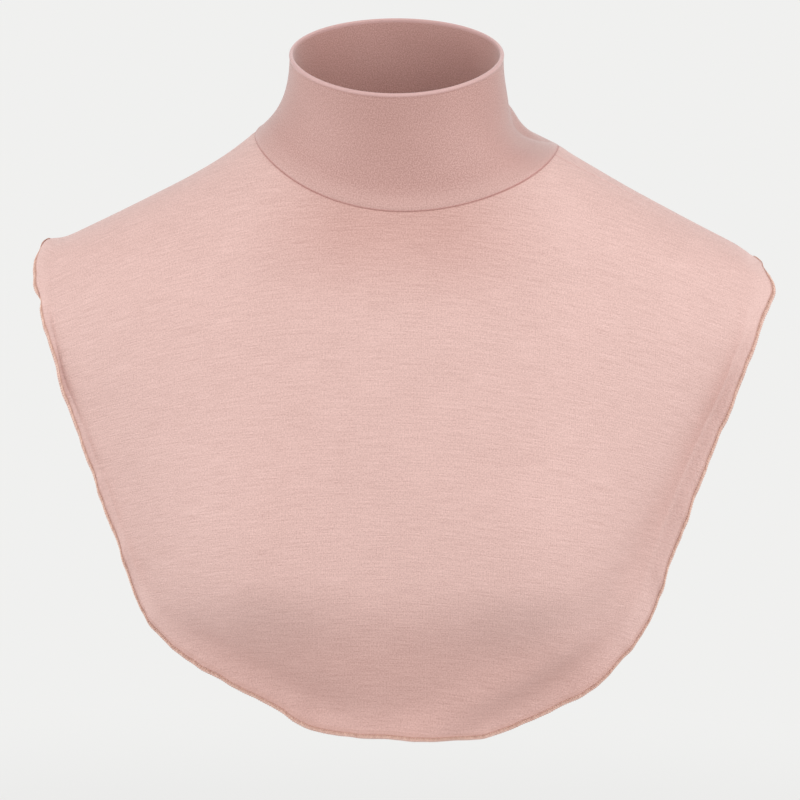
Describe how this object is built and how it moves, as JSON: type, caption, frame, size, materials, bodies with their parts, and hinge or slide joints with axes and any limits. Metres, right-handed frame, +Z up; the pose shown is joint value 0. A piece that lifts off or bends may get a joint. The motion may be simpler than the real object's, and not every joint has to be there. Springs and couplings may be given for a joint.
{
  "type": "turtleneck dickey",
  "caption": "Worn knit half-garment with a folded mock-neck collar and open-sided front and back bibs edged in overlocked thread, worn under other clothes",
  "frame": {"origin": "centre of the neck opening at the height of the side neck points, where the garment sits on the wearer", "axes": "+X to the right of someone who faces the front, +Y to the back, +Z up the neck"},
  "size_m": [0.4097, 0.2117, 0.3804],
  "materials": {
    "jersey": "fine knit jersey, matt",
    "collar_jersey": "fine knit jersey folded double, matt",
    "thread": "overlock thread, slightly lustrous"
  },
  "bodies": {
    "root": {"front_panel": "jersey", "back_panel": "jersey", "collar": "collar_jersey", "edging": "thread"}
  },
  "joints": []
}
